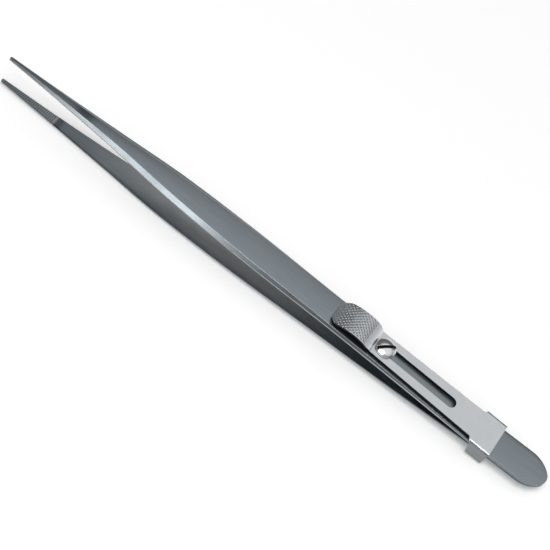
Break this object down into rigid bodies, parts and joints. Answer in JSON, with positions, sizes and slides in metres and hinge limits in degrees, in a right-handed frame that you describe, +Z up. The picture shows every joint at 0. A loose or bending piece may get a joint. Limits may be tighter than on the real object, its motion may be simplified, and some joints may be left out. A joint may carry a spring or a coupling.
{
  "type": "locking thumb forceps",
  "caption": "Long fine-tipped spring forceps of two satin steel blades, with a sheet slide and clip that hold the jaws shut.",
  "frame": {"origin": "centre of the footprint, on the surface that the forceps lie on", "axes": "+X along the forceps to the round butt end, tips at -X; +Z up, the side of the slide; +Y across the blades"},
  "size_m": [0.1658, 0.011, 0.0111],
  "materials": {
    "blade_steel": "satin",
    "slide_plate": "bright plated",
    "screw_steel": "turned"
  },
  "bodies": {
    "lower": {"lower_blade": "blade_steel"},
    "upper": {"upper_blade": "blade_steel", "guide_screw": "screw_steel"},
    "slide": {"lock_slide": "slide_plate"}
  },
  "joints": [
    {"name": "blade_squeeze", "type": "hinge", "parent": "lower", "child": "upper", "pos_m": [0.06193, 0, 0.00334], "axis": [0, -1, 0], "range_deg": [0, 3.52], "stiffness_Nm_per_rad": 3.2},
    {"name": "lock_travel", "type": "slide", "parent": "upper", "child": "slide", "axis": [-0.9975, 0, 0.0704], "range_m": [0, 0.02]}
  ],
  "couplings": [
    {"joint": "blade_squeeze", "follows": "lock_travel", "rad_per_m": 3.0701}
  ]
}
